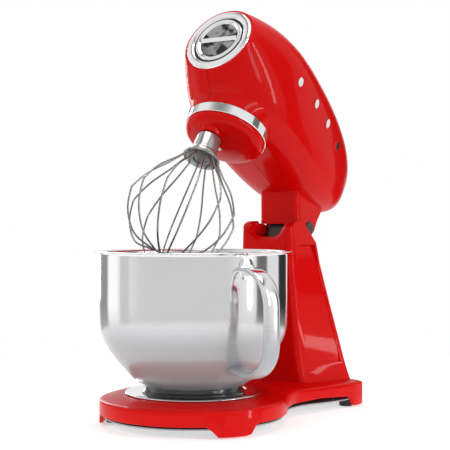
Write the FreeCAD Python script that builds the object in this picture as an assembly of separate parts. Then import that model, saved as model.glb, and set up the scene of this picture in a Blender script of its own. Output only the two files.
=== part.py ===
import FreeCAD, Part
import math
import os

os.makedirs("parts", exist_ok=True)

# Tilt-head stand mixer with a lift-off steel bowl and a wire whisk.
# Millimetres, +Z up, front at -Y, the user's left side at +X.
# The origin is on the bowl axis, on the table. The head is modelled closed and then raised by HEAD_TILT.

V = FreeCAD.Vector
X_AXIS = V(1, 0, 0)
Y_AXIS = V(0, 1, 0)
Z_AXIS = V(0, 0, 1)

# ---- driving dimensions ----
HEAD_TILT = 32.6            # degrees from closed to raised
HINGE_Y = 178.0
HINGE_Z = 184.0
PIN_R = 5.0
HINGE_FIT = 0.05            # running clearance of every shaft in its bush

BASE_R = 109.5              # front of the base, about the bowl axis
BASE_REAR_Y = 236.0
BASE_REAR_HALF = 102.5
BASE_WAIST_Y = 113.0
BASE_WAIST_HALF = 78.0
BASE_TOP = 33.5
SKIRT_Z = 11.5
LEG_Z = 1.5
BASE_WALL = 4.5

COVER_TOP = 11.0
SCREW_POSTS = [(62, -52), (-62, -52), (62, 60), (-62, 60), (78, 196), (-78, 196)]
COLUMN_BOLTS = [(30, 163), (-30, 163), (40, 208), (-40, 208)]
PLATE_SCREWS = [(48 * math.cos(math.radians(a)), 48 * math.sin(math.radians(a))) for a in (45, 135, 225, 315)]
FEET = [(82, -47), (-82, -47), (88, 212), (-88, 212)]

COLUMN_FRONT_Y = 160.0
COLUMN_REAR_Y = 219.0
SLOT_HALF = 19.5
SLOT_FLOOR = 165.0
NOTCH_FLOOR = 219.0
NECK_SWEEP_IN = 48.8        # the neck's lower edge passes the ears between these radii about the hinge
NECK_SWEEP_OUT = 62.0

PLATE_R = 80.0
PLATE_EDGE_Z = 37.9
BOWL_RIM_R = 115.9
BOWL_RIM_Z = 201.1
BOWL_WALL_R = 109.6
BOWL_WALL = 1.5
HANDLE_ANGLE = -23.3        # degrees from +X about the bowl axis
HANDLE_R = 157.0

NOSE_Y = -73.0              # plane of the cap at the front of the head
TAIL_Y = 250.8
UNDERSIDE_Z = 265.0         # flat lower face of the closed head
CAP_Z = 343.2
SHELL_WALL = 3.0
BAND_Z = 254.8
BAND_H = 12.8
BAND_R = 50.9

BEZEL_R = 43.9
GEARBOX_R = 49.6            # bore of the head over the hub
LEVER_Y = 62.0
LEVER_TRAVEL = 24.0
NECK_HALF = 29.0
BUTTON_R = 9.0
BUTTON_PROUD = 2.0
BUTTON_AT = (221.0, 226.0)  # y and z with the head raised

ORBIT_R = 26.3              # beater shaft to hub axis
COLLAR_TOP = 232.0
WHISK_R = 64.0
WHISK_TIP_Z = 58.0
WIRE_R = 1.1
WIRE_LOOPS = 6

DRIVE_Y = 48.0              # countershaft behind the hub axis


# ---- small tools ----
def cyl(r, h, base, axis=Z_AXIS):
    return Part.makeCylinder(r, h, V(*base), axis)


def tube(r_out, r_in, h, base, axis=Z_AXIS):
    return cyl(r_out, h, base, axis).cut(cyl(r_in, h, base, axis))


def box(x0, x1, y0, y1, z0, z1):
    return Part.makeBox(x1 - x0, y1 - y0, z1 - z0, V(x0, y0, z0))


def prism(points, direction):
    wire = Part.makePolygon([V(*p) for p in points] + [V(*points[0])])
    return Part.Face(wire).extrude(V(*direction))


def revolved(profile):
    """Solid of revolution about the Z axis from (radius, height) corners."""
    wire = Part.makePolygon([V(r, 0, z) for r, z in profile] + [V(profile[0][0], 0, profile[0][1])])
    return Part.Face(wire).revolve(V(0, 0, 0), Z_AXIS, 360)


def raised(shape):
    """A piece of the head, turned from closed to raised about the hinge."""
    out = shape.copy()
    out.rotate(V(0, HINGE_Y, HINGE_Z), X_AXIS, -HEAD_TILT)
    return out


def moved(shape, x, y, z):
    out = shape.copy()
    out.translate(V(x, y, z))
    return out


def mirrored(shape):
    return shape.mirror(V(0, 0, 0), X_AXIS)


def round_edges(shape, radius, keep):
    """Fillet the edges that keep() accepts, one by one, and leave out any that fail."""
    edges = [e for e in shape.Edges if keep(e)]
    try:
        return shape.makeFillet(radius, edges)
    except Exception:
        return shape


def solids(shape):
    if len(shape.Solids) == 1:
        return shape.Solids[0]
    return Part.makeCompound(shape.Solids)


made = {}


def save(name, shape):
    shape = solids(shape)
    made[name] = shape
    shape.exportStep(os.path.join("parts", name + ".step"))


def gear(teeth, tip_r, root_r, width, bore, base, axis=Z_AXIS):
    """Spur gear with flat-topped teeth, about a shaft bore."""
    corners = []
    pitch = 2 * math.pi / teeth
    for k in range(teeth):
        for share, r in ((0.0, root_r), (0.2, tip_r), (0.5, tip_r), (0.7, root_r)):
            a = (k + share) * pitch
            corners.append(V(r * math.cos(a), r * math.sin(a), 0))
    wheel = Part.Face(Part.makePolygon(corners + [corners[0]])).extrude(V(0, 0, width))
    wheel = wheel.cut(cyl(bore, width, (0, 0, 0)))
    wheel.Placement = FreeCAD.Placement(V(*base), FreeCAD.Rotation(Z_AXIS, axis))
    return wheel


def bevel(teeth, tip_r, width, bore, base, axis=Z_AXIS):
    """Bevel gear: a 45 degree cone with straight tooth slots; axis points from its large end to its small end."""
    cone = Part.makeCone(tip_r, tip_r - width, width)
    slot_w = 2 * math.pi * tip_r / teeth * 0.45
    for k in range(teeth):
        slot = Part.makeBox(3.2, slot_w, 2 * width, V(-1.6, -slot_w / 2, -width / 2))
        slot.rotate(V(0, 0, 0), Y_AXIS, -45)
        slot.translate(V(tip_r - width / 2, 0, width / 2))
        slot.rotate(V(0, 0, 0), Z_AXIS, 360.0 * k / teeth)
        cone = cone.cut(slot)
    cone = cone.cut(cyl(bore, width, (0, 0, 0)))
    cone.Placement = FreeCAD.Placement(V(*base), FreeCAD.Rotation(Z_AXIS, axis))
    return solids(cone)


# ---- base ----
def base_outline(inset):
    """Plan of the base: a round front, a waist and a wide rear, drawn on z = 0."""
    r = BASE_R - inset
    a = math.radians(30)
    shoulder = V(r * math.cos(a), r * math.sin(a), 0)
    front = Part.Arc(V(-shoulder.x, shoulder.y, 0), V(0, -r, 0), shoulder)
    waist = V(BASE_WAIST_HALF - inset, BASE_WAIST_Y, 0)
    hip = V(BASE_REAR_HALF - inset, 216, 0)
    tail = V(BASE_REAR_HALF - 8 - inset, BASE_REAR_Y - inset, 0)
    right_side = Part.BSplineCurve()
    down = V(-0.55, 0.83, 0)
    right_side.interpolate([shoulder, waist, hip], InitialTangent=down * 60, FinalTangent=V(0, 60, 0))
    corner = Part.Arc(hip, V(hip.x - 1.5, BASE_REAR_Y - 8 - inset, 0), tail)
    rear = Part.LineSegment(tail, V(-tail.x, tail.y, 0))
    half = [right_side.toShape(), corner.toShape()]
    other = [mirrored(e) for e in half]
    wire = Part.Wire(Part.__sortEdges__([front.toShape()] + half + [rear.toShape()] + other))
    return Part.Face(wire)


def plan_solid(inset, z0, z1):
    face = base_outline(inset)
    face.translate(V(0, 0, z0))
    return face.extrude(V(0, 0, z1 - z0))


def base_casting():
    body = plan_solid(0, LEG_Z, BASE_TOP)
    body = round_edges(body, 7.0, lambda e: e.BoundBox.ZMin > BASE_TOP - 0.1)
    plateau = Part.makeCone(96, 86, 3.0, V(0, 0, BASE_TOP - 0.5))
    body = body.fuse(plateau).removeSplitter()
    body = body.cut(plan_solid(BASE_WALL, LEG_Z - 1, BASE_TOP - BASE_WALL))
    front_gap = prism([(-84, -160, -1), (84, -160, -1), (75, -160, SKIRT_Z), (-75, -160, SKIRT_Z)], (0, 160, 0))
    side_gap = prism([(40, -38, -1), (40, 210, -1), (40, 203, 14), (40, 150, 17), (40, 60, SKIRT_Z),
                      (40, -29, SKIRT_Z)], (90, 0, 0))
    rear_gap = prism([(-86, 190, -1), (86, 190, -1), (80, 190, 12), (-80, 190, 12)], (0, 60, 0))
    body = body.cut(front_gap).cut(side_gap).cut(mirrored(side_gap)).cut(rear_gap)
    for x, y in SCREW_POSTS:
        body = body.fuse(cyl(5, BASE_TOP - BASE_WALL - COVER_TOP, (x, y, COVER_TOP)))
    for x, y in COLUMN_BOLTS:
        body = body.cut(cyl(3.2, 20, (x, y, 20)))
    for x, y in SCREW_POSTS:
        body = body.cut(cyl(1.5, 12, (x, y, COVER_TOP)))
    for x, y in PLATE_SCREWS:
        body = body.cut(cyl(2.0, 12, (x, y, 27)))
    return body


save("base_casting", base_casting())

cover = plan_solid(BASE_WALL + 0.4, COVER_TOP - 1.5, COVER_TOP)
for x, y in SCREW_POSTS:
    cover = cover.cut(cyl(1.8, 4, (x, y, COVER_TOP - 2)))
save("base_cover", cover)

screws = [cyl(3.0, 1.8, (x, y, COVER_TOP - 3.3)).fuse(cyl(1.5, 10, (x, y, COVER_TOP - 1.5))) for x, y in SCREW_POSTS]
save("cover_screws", Part.makeCompound(screws))

for name, (x, y) in zip(("foot_front_left", "foot_front_right", "foot_rear_left", "foot_rear_right"), FEET):
    foot = revolved([(0, 0), (7.0, 0), (8.5, 1.5), (8.5, COVER_TOP - 1.5), (0, COVER_TOP - 1.5)])
    save(name, moved(foot, x, y, 0))

# ---- bowl plate ----
plate_z = BASE_TOP + 2.5
plate = revolved([(0, plate_z), (PLATE_R - 4, plate_z), (PLATE_R, PLATE_EDGE_Z - 1.0), (PLATE_R - 0.6, PLATE_EDGE_Z),
                  (PLATE_R - 6, PLATE_EDGE_Z + 0.6), (63, PLATE_EDGE_Z), (62, plate_z + 1.2), (0, plate_z + 1.2)])
for x, y in PLATE_SCREWS:
    plate = plate.cut(cyl(2.0, 4, (x, y, plate_z - 1)))
save("bowl_plate", plate)
FOOT_Z = plate_z + 1.5
plate_screws = [cyl(1.99, 10, (x, y, plate_z - 8.8)) for x, y in PLATE_SCREWS]
save("bowl_plate_screws", Part.makeCompound(plate_screws))


# ---- column ----
def column_section(z, front_half, rear_half, front_y):
    r = 5.0
    rear_y = COLUMN_REAR_Y
    pts = [(-front_half, front_y), (front_half, front_y), (rear_half, rear_y), (-rear_half, rear_y)]
    edges = []
    n = len(pts)
    for k in range(n):
        p0, p1, p2 = (V(*pts[(k + d) % n], z) for d in (-1, 0, 1))
        d0 = (p0 - p1).normalize()
        d2 = (p2 - p1).normalize()
        half = d0.getAngle(d2) / 2
        reach = r / math.tan(half)
        a, b = p1 + d0 * reach, p1 + d2 * reach
        middle = p1 + (d0 + d2).normalize() * (r / math.sin(half) - r)
        edges.append((a, middle, b))
    out = []
    for k in range(n):
        a, m, b = edges[k]
        out.append(Part.Arc(a, m, b).toShape())
        out.append(Part.LineSegment(b, edges[(k + 1) % n][0]).toShape())
    return Part.Wire(out)


# height, half width at the front, half width at the rear, y of the front face
COLUMN_SECTIONS = [(BASE_TOP, 60, 91, 152), (52, 51, 84, 156.5), (85, 45, 74, 159), (130, 40, 60, 160),
                   (180, 37, 45, 160), (240, 36, 33, 160)]


def column_casting():
    outer = Part.makeLoft([column_section(*s) for s in COLUMN_SECTIONS], True, False)
    inner = Part.makeLoft([column_section(z, a - 5, b - 7, y + 4.5) for z, a, b, y in COLUMN_SECTIONS], True, False)
    rear = COLUMN_REAR_Y
    ear_line = [(150, 222), (160, 222), (162.5, 228), (168, 232.5), (176, 235.5), (184, 236), (192, 236),
                (222, 201), (260, 200), (260, 300), (150, 300)]
    above = prism([(-60, y, z) for y, z in ear_line], (120, 0, 0))
    cavity = inner.common(box(-100, 100, 100, rear - 5, 20, SLOT_FLOOR - 6))
    slot = box(-SLOT_HALF, SLOT_HALF, COLUMN_FRONT_Y + 4, rear - 5, SLOT_FLOOR, 260)
    rear_slot = box(-SLOT_HALF, SLOT_HALF, rear - 8, 260, 203, 260)
    notch = prism([(-11, 150, NOTCH_FLOOR), (11, 150, NOTCH_FLOOR), (15, 150, 221), (21, 150, 227.5), (29, 150, 233),
                   (29, 150, 260), (-29, 150, 260), (-29, 150, 233), (-21, 150, 227.5), (-15, 150, 221)], (0, 22, 0))
    body = outer.cut(above)
    body = round_edges(body, 1.8, lambda e: e.BoundBox.ZMin > 200 and e.BoundBox.XLength > 30)
    body = body.cut(cavity).cut(slot).cut(rear_slot).cut(notch)
    sweep_half = NECK_HALF + BUTTON_PROUD + 0.5
    sweep = tube(NECK_SWEEP_OUT, NECK_SWEEP_IN, 2 * sweep_half, (-sweep_half, HINGE_Y, HINGE_Z), X_AXIS)
    body = body.cut(sweep.common(box(-60, 60, 150, 260, 215, 260)))
    body = body.cut(cyl(PIN_R, 90, (-45, HINGE_Y, HINGE_Z), X_AXIS))
    for x, y in COLUMN_BOLTS:
        post = cyl(8, 16, (x, y, BASE_TOP)).common(outer)
        body = body.fuse(post).cut(cyl(3.2, 14, (x, y, BASE_TOP - 1)))
    return body


column = column_casting()
column = column.cut(made["base_casting"])
bolts = []
for x, y in COLUMN_BOLTS:
    head = cyl(5.5, 4, (x, y, BASE_TOP - BASE_WALL - 4))
    bolts.append(head.fuse(cyl(3.2, 16, (x, y, BASE_TOP - BASE_WALL))))
save("column_bolts", Part.makeCompound(bolts))

pin_half = 35.0
save("hinge_pin", cyl(PIN_R, 2 * pin_half, (-pin_half, HINGE_Y, HINGE_Z), X_AXIS))

gland = tube(7.5, 3.6, 12, (0, COLUMN_REAR_Y - 6, 60), Y_AXIS).fuse(
    tube(10, 3.6, 2.5, (0, COLUMN_REAR_Y, 60), Y_AXIS))
save("cord_inlet", gland)
save("column_casting", column.cut(cyl(7.5, 16, (0, COLUMN_REAR_Y - 12, 60), Y_AXIS)))


# ---- head shells ----
def egg_sizes(t):
    """Half width, height above and height below the middle line at the share t of the head's length."""
    def swell(start, most, at, power):
        if t < at:
            return start + (most - start) * math.sin(t / at * math.pi / 2) ** 0.9
        return most * (1 - ((t - at) / (1 - at)) ** power) ** (1 / power)
    return swell(46.5, 73.0, 0.365, 2.378), swell(46.5, 63.4, 0.2, 2.323), swell(46.5, 80.0, 0.2, 2.323)


def egg(grow):
    """The head's outer form, grown (or shrunk, when negative) evenly."""
    wires = []
    for t in (0, 0.05, 0.11, 0.2, 0.31, 0.43, 0.55, 0.66, 0.76, 0.84, 0.9, 0.945, 0.975, 0.992):
        half, above, below = egg_sizes(t)
        squareness = 2.0 + 0.787 * min(1.0, t / 0.25)
        y = NOSE_Y + t * (TAIL_Y - NOSE_Y)
        y += grow * (1 if t > 0.6 else 0) * ((t - 0.6) / 0.4)
        middle = CAP_Z - 14.6 * t ** 1.5
        points = []
        count = 24
        for k in range(count):
            a = 2 * math.pi * k / count
            ca, sa = math.cos(a), math.sin(a)
            ex = math.copysign(abs(ca) ** (2 / squareness), ca)
            ez = math.copysign(abs(sa) ** (2 / squareness), sa)
            reach = above if sa > 0 else below
            points.append(V((half + grow) * ex, y, middle + (reach + grow) * ez))
        curve = Part.BSplineCurve()
        curve.interpolate(points, PeriodicFlag=True)
        wires.append(Part.Wire(curve.toShape()))
    return Part.makeLoft(wires, True, False)


def head_shells():
    outer = egg(0).cut(box(-120, 120, -120, 300, 150, UNDERSIDE_Z))
    band_top = BAND_Z + BAND_H
    flare = revolved([(0, band_top), (51.5, band_top), (52.3, 273), (54.5, 278), (59, 284), (0, 287)])
    outer = outer.fuse(flare)
    inner = egg(-SHELL_WALL).cut(box(-120, 120, -120, 300, 150, UNDERSIDE_Z + SHELL_WALL))
    inner = inner.cut(box(-120, 120, -120, NOSE_Y + 9, 200, 450))
    hollow = outer.cut(inner)
    hollow = hollow.cut(cyl(BEZEL_R, 14, (0, NOSE_Y - 4, CAP_Z), Y_AXIS))
    hollow = hollow.cut(cyl(GEARBOX_R, 60, (0, 0, UNDERSIDE_Z - 5)))
    hollow = hollow.cut(cyl(BAND_R + 0.1, 20, (0, 0, band_top - 20)))
    hollow = hollow.cut(lever_cut())
    return hollow


def lever_cut():
    return box(-5, 5, LEVER_Y - 8, LEVER_Y + LEVER_TRAVEL + 8, 380, 430)


shell = head_shells()
left_half = shell.common(box(0, 120, -120, 300, 200, 450))
right_half = shell.common(box(-120, 0, -120, 300, 200, 450))
save("head_shell_left", raised(left_half))
save("head_shell_right", raised(right_half))

# trim studs, four plain lozenges on each side in place of lettering
stud_skin = egg(1.6).cut(egg(0))
STUD_PLACES = [(13.7, 341.9), (57.2, 341.6), (95.1, 339.4), (137.6, 335.3)]


def trim_studs(side):
    studs = []
    x = 40 * side
    for y, z in STUD_PLACES:
        lozenge = prism([(x, y - 4.2, z - 2), (x, y - 2, z - 6), (x, y + 2, z - 6), (x, y + 4.2, z - 2),
                         (x, y + 4.2, z + 2), (x, y + 2, z + 6), (x, y - 2, z + 6), (x, y - 4.2, z + 2)],
                        (60 * side, 0, 0))
        studs.append(stud_skin.common(lozenge))
    return Part.makeCompound(studs)


save("trim_studs_left", raised(trim_studs(1)))
save("trim_studs_right", raised(trim_studs(-1)))

# ---- front cap, its bezel and groove ring ----
bezel = tube(BEZEL_R, 33.6, 9.0, (0, NOSE_Y - 2.4, CAP_Z), Y_AXIS)
bezel = round_edges(bezel, 1.6, lambda e: abs(e.BoundBox.YMax - (NOSE_Y - 2.4)) < 0.01)
save("cap_bezel", raised(bezel))
save("cap_gasket", raised(tube(33.6, 31.8, 7.0, (0, NOSE_Y - 1.2, CAP_Z), Y_AXIS)))
cap_front = NOSE_Y - 2.4
cap = cyl(31.4, 9.0, (0, cap_front, CAP_Z), Y_AXIS).cut(cyl(25.5, 3.4, (0, cap_front - 0.01, CAP_Z), Y_AXIS))
bar = box(-26, 26, cap_front + 0.6, cap_front + 4, CAP_Z - 3.4, CAP_Z + 3.4)
cap = cap.fuse(bar.common(cyl(26, 9, (0, cap_front, CAP_Z), Y_AXIS)))
save("front_cap", raised(cap))

# ---- hub band, gear frame and ring gear ----
save("hub_band", raised(tube(BAND_R, GEARBOX_R, BAND_H, (0, 0, BAND_Z), Z_AXIS)))
frame = tube(GEARBOX_R, 41.0, 38, (0, 0, BAND_Z + 1.8)).fuse(tube(49.0, 9.0, 5, (0, 0, 289)))
arm = box(-20, 20, 40, 128, 268.2, 274).cut(cyl(45, 60, (0, 0, 250)))
frame = frame.fuse(arm)
bridge = box(-12, 12, 30, 62, 289, 294).cut(cyl(9, 20, (0, 0, 280)))
frame = frame.fuse(bridge)
front_post = box(-12, 12, -54, -40, 289, 294).fuse(box(-12, 12, -54, -48, 289, CAP_Z + 12))
front_post = front_post.cut(cyl(7.0, 30, (0, -70, CAP_Z), Y_AXIS))
frame = frame.fuse(front_post)
frame = frame.cut(cyl(6.0, 40, (0, DRIVE_Y, 262)))
save("gear_frame", raised(frame))

ring_teeth = 76
ring_blank = cyl(41.0, 12, (0, 0, 270))
ring_bore = gear(ring_teeth, 40.2, 38.9, 12, 0.01, (0, 0, 270)).fuse(cyl(38.9, 12, (0, 0, 270)))
save("ring_gear", raised(ring_blank.cut(ring_bore)))

# ---- planet carrier: red hub dish, main shaft and main gear ----
dish_depth = 21.5
dish_profile = []
for k in range(9):
    share = k / 8 * 0.985
    radius = 49.3 * (1 - share ** 2.66) ** (1 / 1.29)
    dish_profile.append((radius, BAND_Z - 0.3 - dish_depth * share))
floor_z = dish_profile[-1][1]
outer_curve = Part.BSplineCurve()
outer_curve.interpolate([V(r, 0, z) for r, z in dish_profile])
dish_wire = Part.Wire([
    outer_curve.toShape(),
    Part.makePolygon([V(dish_profile[-1][0], 0, floor_z), V(0, 0, floor_z), V(0, 0, BAND_Z + 1),
                      V(49.3, 0, BAND_Z + 1), V(49.3, 0, BAND_Z - 0.3)])])
dish = Part.Face(dish_wire).revolve(V(0, 0, 0), Z_AXIS, 360)
boss_a = Part.makeCone(13.5, 15.5, 12, V(0, -ORBIT_R, 234.5))
boss_b = Part.makeCone(5.5, 7.5, 12, V(0, -ORBIT_R + 24, 235.5))
web = prism([(-13.0, -ORBIT_R, 235), (13.0, -ORBIT_R, 235), (5.2, -2, 235.5), (-5.2, -2, 235.5)], (0, 0, 10))
dish = dish.fuse(boss_a).fuse(boss_b).fuse(web)
dish = dish.cut(cyl(9.0, 60, (0, -ORBIT_R, 215)))
dish = dish.cut(cyl(3.2, 6, (0, -ORBIT_R + 24, 232)))
dish = dish.cut(tube(46.3, 20.0, 8, (0, 0, 248)).cut(cyl(13, 30, (0, -ORBIT_R, 240))))
dish = dish.cut(cyl(7.5, 30, (0, 0, 241)))
save("hub_dish", raised(dish))
save("hub_set_screw", raised(cyl(3.2, 5.2, (0, -ORBIT_R + 24, 232.8))))

main_shaft = cyl(7.5, 32, (0, 0, 241)).fuse(cyl(6.0, 66, (0, 0, 265)))
save("main_shaft", raised(main_shaft))
save("hub_bearing", raised(tube(9.0, 6.0 + HINGE_FIT, 5, (0, 0, 289))))
save("main_gear", raised(gear(60, 35.4, 33.0, 7, 6.0, (0, 0, 296))))

planet_bearing = tube(9.0, 5.0 + HINGE_FIT, 14, (0, -ORBIT_R, 242))
save("planet_bearing", raised(planet_bearing))
save("shaft_seal", raised(tube(9.0, 5.0 + HINGE_FIT, 4, (0, -ORBIT_R, 236))))

# ---- beater shaft, planet pinion and drive pin ----
beater_shaft = cyl(5.0, 74, (0, -ORBIT_R, 212))
save("beater_shaft", raised(beater_shaft.cut(cyl(1.5, 16, (-8, -ORBIT_R, 220), X_AXIS))))
save("planet_pinion", raised(gear(24, 12.1, 10.4, 12, 5.0, (0, -ORBIT_R, 270))))
save("drive_pin", raised(cyl(1.5, 16, (-8, -ORBIT_R, 220), X_AXIS)))

# ---- whisk ----
collar = revolved([(5.0 + HINGE_FIT, 206), (17, 206), (17, 209), (15, 212), (15, COLLAR_TOP - 1.5), (13.5, COLLAR_TOP),
                   (5.0 + HINGE_FIT, COLLAR_TOP)])
collar = moved(collar, 0, -ORBIT_R, 0)
collar = collar.cut(box(-8.3, 8.3, -ORBIT_R - 1.8, -ORBIT_R + 1.8, 218, COLLAR_TOP + 1))
FLANGE_Z = 200.0
flange = revolved([(0, FLANGE_Z), (21.0, FLANGE_Z), (22.5, FLANGE_Z + 1.5), (22.5, FLANGE_Z + 2.5),
                   (17.0, 206), (0, 206)])
flange = moved(flange, 0, -ORBIT_R, 0)


def wire_loop(k):
    """One whisk wire: out of the flange, round the bulge and across the tip, below the loop before it."""
    tip = WHISK_TIP_Z + 2.6 * (WIRE_LOOPS - 1 - k)
    top = FLANGE_Z + 3.0
    # half outline as (radius, height), a plain onion form
    half = [(18.5, top), (33, 182), (50.5, 160), (61.5, 138), (WHISK_R - WIRE_R, 120 + tip / 10),
            (57.5, 97 + tip / 12), (42, 76 + tip / 16), (21, tip + 3.5)]
    points = [V(r, 0, z) for r, z in half] + [V(0, 0, tip)] + [V(-r, 0, z) for r, z in reversed(half)]
    path = Part.BSplineCurve()
    path.interpolate(points)
    spine = Part.Wire(path.toShape())
    start = path.value(path.FirstParameter)
    along = path.tangent(path.FirstParameter)[0]
    section = Part.Wire(Part.makeCircle(WIRE_R, start, along))
    loop = spine.makePipeShell([section], True, False)
    loop.rotate(V(0, 0, 0), Z_AXIS, 180.0 / WIRE_LOOPS * (k + 0.5))
    loop.translate(V(0, -ORBIT_R, 0))
    return loop


wires = [solids(wire_loop(k)) for k in range(WIRE_LOOPS)]
bundle = Part.makeCompound(wires)
save("whisk_collar", raised(collar))
save("whisk_flange", raised(flange.cut(bundle)))
save("whisk_wires", raised(bundle))

# ---- countershaft ----
counter = cyl(6.0 - HINGE_FIT, 44, (0, DRIVE_Y, 270))
counter = counter.fuse(gear(20, 12.2, 9.9, 9, 6.0 - HINGE_FIT, (0, DRIVE_Y, 295)))
save("counter_shaft", raised(counter))
save("crown_gear", raised(gear(56, 38.0, 36.0, 6.6, 5.0, (0, DRIVE_Y, 308)).cut(
    cyl(6.0 - HINGE_FIT, 20, (0, DRIVE_Y, 300)))))

# ---- motor ----
MOTOR_AXIS_Z = 323.0
MOTOR_Y = 108.0
stator = box(-34, 34, MOTOR_Y, MOTOR_Y + 52, MOTOR_AXIS_Z - 34, MOTOR_AXIS_Z + 34)
stator = round_edges(stator, 9, lambda e: e.BoundBox.YLength > 50)
stator = stator.cut(cyl(23.0, 60, (0, MOTOR_Y - 4, MOTOR_AXIS_Z), Y_AXIS))
save("motor_stator", raised(stator))
coils = tube(31, 24, 8, (0, MOTOR_Y - 8, MOTOR_AXIS_Z), Y_AXIS).fuse(
    tube(31, 24, 8, (0, MOTOR_Y + 52, MOTOR_AXIS_Z), Y_AXIS))
save("stator_coils", raised(coils))
rotor = cyl(22.3, 50, (0, MOTOR_Y + 1, MOTOR_AXIS_Z), Y_AXIS)
commutator = cyl(11, 16, (0, MOTOR_Y + 58, MOTOR_AXIS_Z), Y_AXIS)
shaft = cyl(4.0, 142, (0, MOTOR_Y - 26, MOTOR_AXIS_Z), Y_AXIS)
pinion = gear(10, 7.6, 5.6, 13.4, 4.0, (0, MOTOR_Y - 26, MOTOR_AXIS_Z), Y_AXIS)
save("motor_rotor", raised(rotor.fuse(commutator).fuse(shaft).fuse(pinion)))
fan = cyl(8, 9, (0, MOTOR_Y + 78, MOTOR_AXIS_Z), Y_AXIS)
for k in range(9):
    blade = box(-0.8, 0.8, MOTOR_Y + 78, MOTOR_Y + 87, MOTOR_AXIS_Z + 7, MOTOR_AXIS_Z + 29)
    blade.rotate(V(0, 0, MOTOR_AXIS_Z), Y_AXIS, 40.0 * k)
    fan = fan.fuse(blade)
fan = fan.cut(cyl(4.0, 20, (0, MOTOR_Y + 70, MOTOR_AXIS_Z), Y_AXIS))
save("motor_fan", raised(fan))
bearings = []
for y in (MOTOR_Y - 12, MOTOR_Y + 96):
    bearings.append(tube(10, 4.0 + HINGE_FIT, 7, (0, y, MOTOR_AXIS_Z), Y_AXIS))
save("motor_bearings", raised(Part.makeCompound(bearings)))
bracket = box(-24, 24, MOTOR_Y - 12, MOTOR_Y - 8, 274, MOTOR_AXIS_Z + 14)
bracket = bracket.cut(cyl(10, 40, (0, MOTOR_Y - 20, MOTOR_AXIS_Z), Y_AXIS))
rear_bracket = box(-14, 14, MOTOR_Y + 96, MOTOR_Y + 100, 287, MOTOR_AXIS_Z + 14)
rear_bracket = rear_bracket.cut(cyl(10, 40, (0, MOTOR_Y + 80, MOTOR_AXIS_Z), Y_AXIS))
cradle = box(-24, 24, MOTOR_Y - 12, MOTOR_Y + 40, 274, 287)
strap = box(-14, 14, MOTOR_Y - 12, MOTOR_Y + 100, 287, MOTOR_AXIS_Z - 34)
save("motor_bracket", raised(bracket.fuse(rear_bracket).fuse(cradle).fuse(strap)))
brushes = []
for side in (1, -1):
    holder = box(min(side * 11.3, side * 27), max(side * 11.3, side * 27), MOTOR_Y + 61, MOTOR_Y + 71,
                 MOTOR_AXIS_Z - 5, MOTOR_AXIS_Z + 5)
    brushes.append(holder)
save("carbon_brushes", raised(Part.makeCompound(brushes)))
board = box(-32, 32, 60, 100, 372, 373.6)
save("control_board", raised(board))

# ---- front accessory drive ----
BEVEL_AT = 18.0             # large end of each bevel gear, from the crossing of the shafts
BEVEL_R = 17.2
save("top_bevel", raised(bevel(18, BEVEL_R, 6, 6.0, (0, 0, CAP_Z - BEVEL_AT))))
accessory = cyl(5.0, 43, (0, -56, CAP_Z), Y_AXIS).cut(box(-3, 3, -58, -46, CAP_Z - 3, CAP_Z + 3))
save("accessory_shaft", raised(accessory))
save("accessory_bevel", raised(bevel(18, BEVEL_R, 6, 5.0, (0, -BEVEL_AT, CAP_Z), Y_AXIS)))
save("accessory_bearing", raised(tube(7.0, 5.0 + HINGE_FIT, 6, (0, -54, CAP_Z), Y_AXIS)))

# ---- speed lever on the top of the head ----
top_skin = egg(1.2).cut(egg(0))
plate_box = box(-11, 11, LEVER_Y - 16, LEVER_Y + LEVER_TRAVEL + 16, 380, 430)
slot_plate = top_skin.common(plate_box).cut(box(-3.2, 3.2, LEVER_Y - 6, LEVER_Y + LEVER_TRAVEL + 6, 380, 430))
save("lever_plate", raised(slot_plate))
lever_top = 404.5
lever = box(-2.8, 2.8, LEVER_Y - 3, LEVER_Y + 3, 378, lever_top + 2)
knob = cyl(6.5, 4.2, (0, LEVER_Y, lever_top + 2.0))
knob = round_edges(knob, 1.6, lambda e: e.BoundBox.ZMin > lever_top + 6)
save("speed_lever", raised(lever.fuse(knob)))

# ---- neck, hinge tongue and release button, drawn in the raised position ----
neck_line = [(189, 232), (208, 232), (212, 221), (219, 216), (228, 217.5), (234.8, 223), (242, 235), (252.5, 247),
             (262, 262), (262, 330), (189, 330)]
neck = prism([(-NECK_HALF, y, z) for y, z in neck_line], (2 * NECK_HALF, 0, 0))
neck = round_edges(neck, 8.0, lambda e: e.BoundBox.ZLength > 80 and e.BoundBox.YMax < 200)
roof = egg(0).cut(box(-120, 120, -120, 300, 150, UNDERSIDE_Z))
neck = neck.cut(raised(roof))
button_y, button_z = BUTTON_AT
tongue_line = [(168.7, 189.9), (188.1, 220.3), (196, 232.7), (196, 245), (214, 245), (214, 232), (190, 184)]
TONGUE_HALF = 17.5
tongue = prism([(-TONGUE_HALF, y, z) for y, z in tongue_line], (2 * TONGUE_HALF, 0, 0))
tongue = round_edges(tongue, 4.0, lambda e: e.BoundBox.YMax < 196.5 and e.BoundBox.ZLength > 10 and
                     e.BoundBox.XLength < 1)
tongue = tongue.fuse(cyl(12.0, 2 * TONGUE_HALF, (-TONGUE_HALF, HINGE_Y, HINGE_Z), X_AXIS))
tongue = tongue.cut(cyl(7.5, 60, (-30, HINGE_Y, HINGE_Z), X_AXIS))
button_bore = cyl(BUTTON_R + HINGE_FIT, 16, (NECK_HALF - 12, button_y, button_z), X_AXIS)
neck = neck.cut(tongue).cut(button_bore)
save("neck_casting", neck)
save("hinge_tongue", tongue)
bushes = []
for x in (-TONGUE_HALF, TONGUE_HALF - 9):
    bushes.append(tube(7.5, PIN_R + HINGE_FIT, 9, (x, HINGE_Y, HINGE_Z), X_AXIS))
save("hinge_bushes", Part.makeCompound(bushes))
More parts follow.
